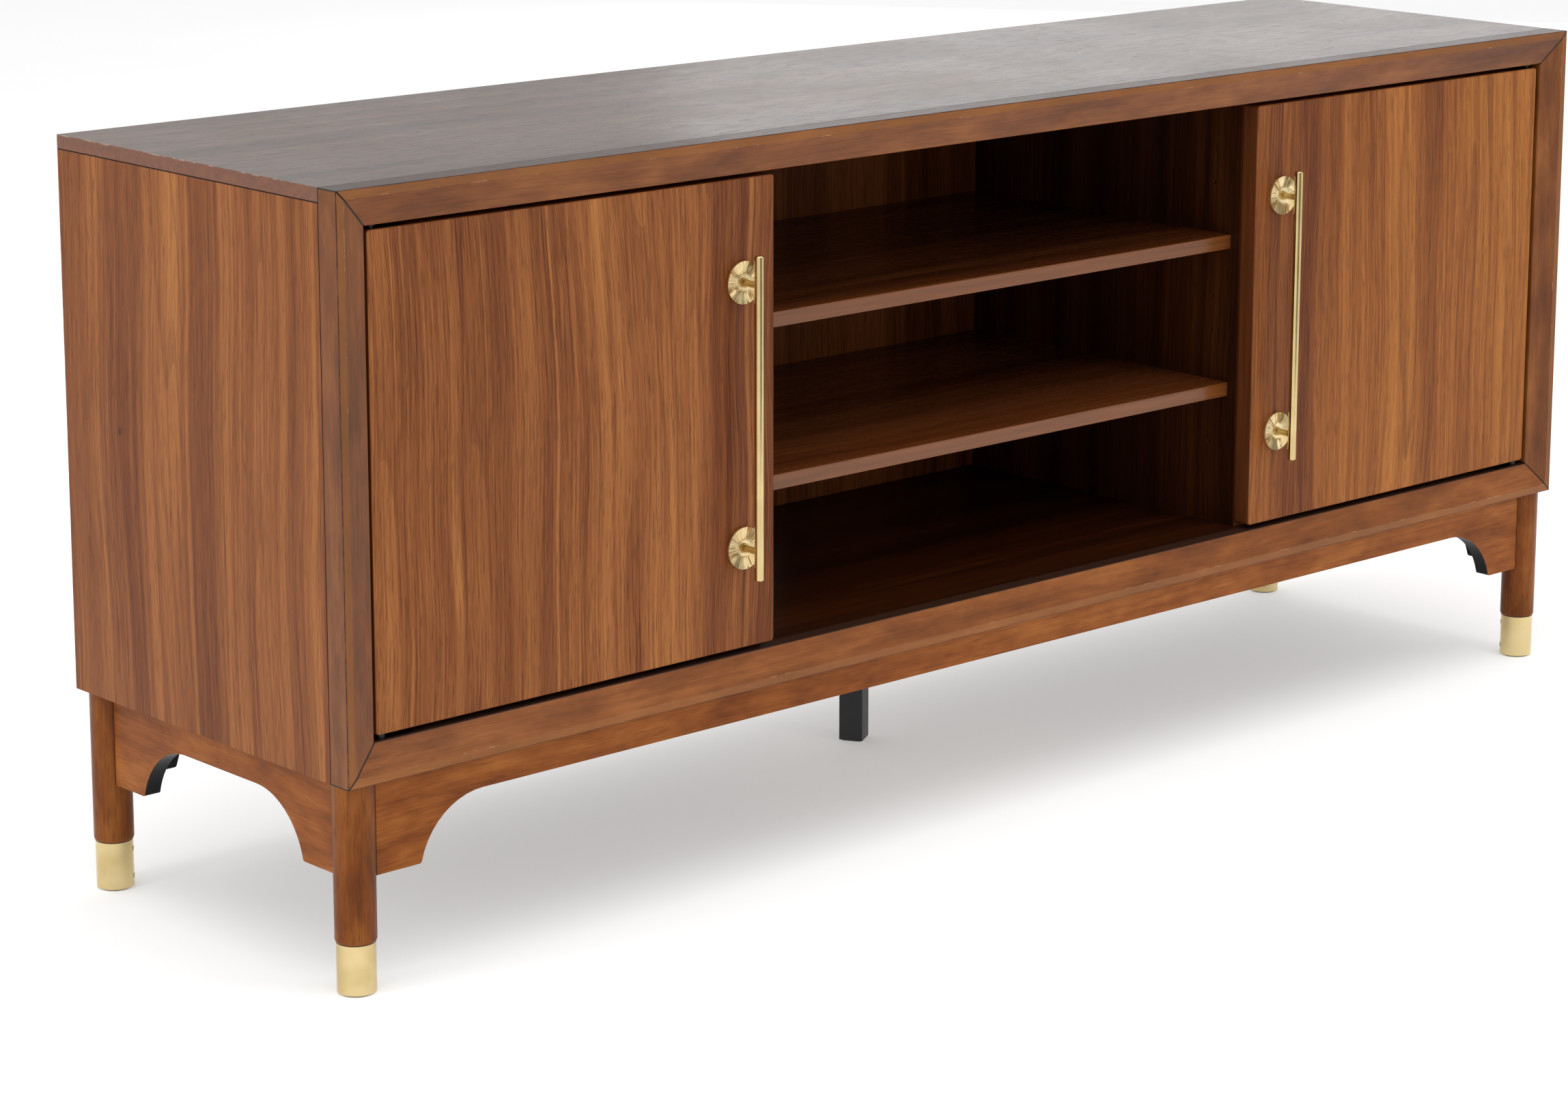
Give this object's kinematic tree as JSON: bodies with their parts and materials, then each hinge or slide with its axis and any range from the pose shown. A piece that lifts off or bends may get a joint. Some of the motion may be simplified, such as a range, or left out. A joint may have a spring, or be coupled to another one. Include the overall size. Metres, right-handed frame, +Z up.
{
  "type": "tv stand with doors",
  "caption": "Long low media cabinet on round legs with metal ferrules, hinged doors with bar handles beside an open shelved bay, mitred frame and arched aprons.",
  "frame": {"origin": "on the floor, below the middle of the overall box, which reaches from the door handles to the back panels", "axes": "+Z up, +X to the right seen from the front, doors and handles face -Y"},
  "size_m": [1.778, 0.4758, 0.762],
  "materials": {
    "top_veneer": "satin lacquered dark walnut veneer, grain along X",
    "side_veneer": "satin lacquered walnut veneer, upright grain",
    "door_veneer": "satin lacquered walnut veneer, upright grain",
    "frame_wood": "satin lacquered solid wood",
    "base_wood": "satin lacquered solid wood",
    "inside_veneer": "satin dark stained veneer",
    "shelf_wood": "satin dark stained veneer with solid front edges",
    "back_board": "thin stained board, upright grain",
    "plain_wood": "bare sawn wood",
    "satin_brass": "satin brushed",
    "plain_steel": "zinc plated",
    "black_post": "satin black paint",
    "black_plastic": "matte black",
    "clear_rubber": "soft translucent"
  },
  "bodies": {
    "cabinet": {"back_apron": "base_wood", "back_left_ferrule": "satin_brass", "back_left_leg": "base_wood", "back_right_ferrule": "satin_brass", "back_right_leg": "base_wood", "back_screws": "plain_steel", "bottom_battens": "plain_wood", "bottom_board": "inside_veneer", "cable_grommets": "black_plastic", "centre_back_panel": "back_board", "centre_leg": "black_post", "corner_blocks": "plain_wood", "divider_bumpers": "clear_rubber", "divider_magnets": "plain_steel", "dowels": "plain_wood", "ferrule_screws": "satin_brass", "foot_glides": "black_plastic", "frame_bottom_rail": "frame_wood", "frame_left_stile": "frame_wood", "frame_pivot_plates": "plain_steel", "frame_pivot_screws": "plain_steel", "frame_right_stile": "frame_wood", "frame_top_rail": "frame_wood", "front_apron": "base_wood", "front_left_ferrule": "satin_brass", "front_left_leg": "base_wood", "front_right_ferrule": "satin_brass", "front_right_leg": "base_wood", "left_apron": "base_wood", "left_back_panel": "back_board", "left_cupboard_shelf": "shelf_wood", "left_divider": "inside_veneer", "left_side_panel": "side_veneer", "leg_bolts": "plain_steel", "lower_shelf": "shelf_wood", "pivot_pins": "plain_steel", "right_apron": "base_wood", "right_back_panel": "back_board", "right_cupboard_shelf": "shelf_wood", "right_divider": "inside_veneer", "right_side_panel": "side_veneer", "shelf_pins": "plain_steel", "top_board": "top_veneer", "upper_shelf": "shelf_wood"},
    "left_door": {"left_door": "door_veneer", "left_door_pivot_plates": "plain_steel", "left_door_pivot_screws": "plain_steel", "left_door_strikes": "plain_steel", "left_handle_bar": "satin_brass", "left_handle_posts": "satin_brass", "left_handle_rosettes": "satin_brass", "left_handle_screws": "plain_steel"},
    "right_door": {"right_door": "door_veneer", "right_door_pivot_plates": "plain_steel", "right_door_pivot_screws": "plain_steel", "right_door_strikes": "plain_steel", "right_handle_bar": "satin_brass", "right_handle_posts": "satin_brass", "right_handle_rosettes": "satin_brass", "right_handle_screws": "plain_steel"}
  },
  "joints": [
    {"name": "left_door_hinge", "type": "hinge", "parent": "cabinet", "child": "left_door", "pos_m": [-0.838, -0.20012, 0.48395], "axis": [0, 0, -1], "range_deg": [0, 105]},
    {"name": "right_door_hinge", "type": "hinge", "parent": "cabinet", "child": "right_door", "pos_m": [0.838, -0.20012, 0.48395], "axis": [0, 0, 1], "range_deg": [0, 105]}
  ]
}
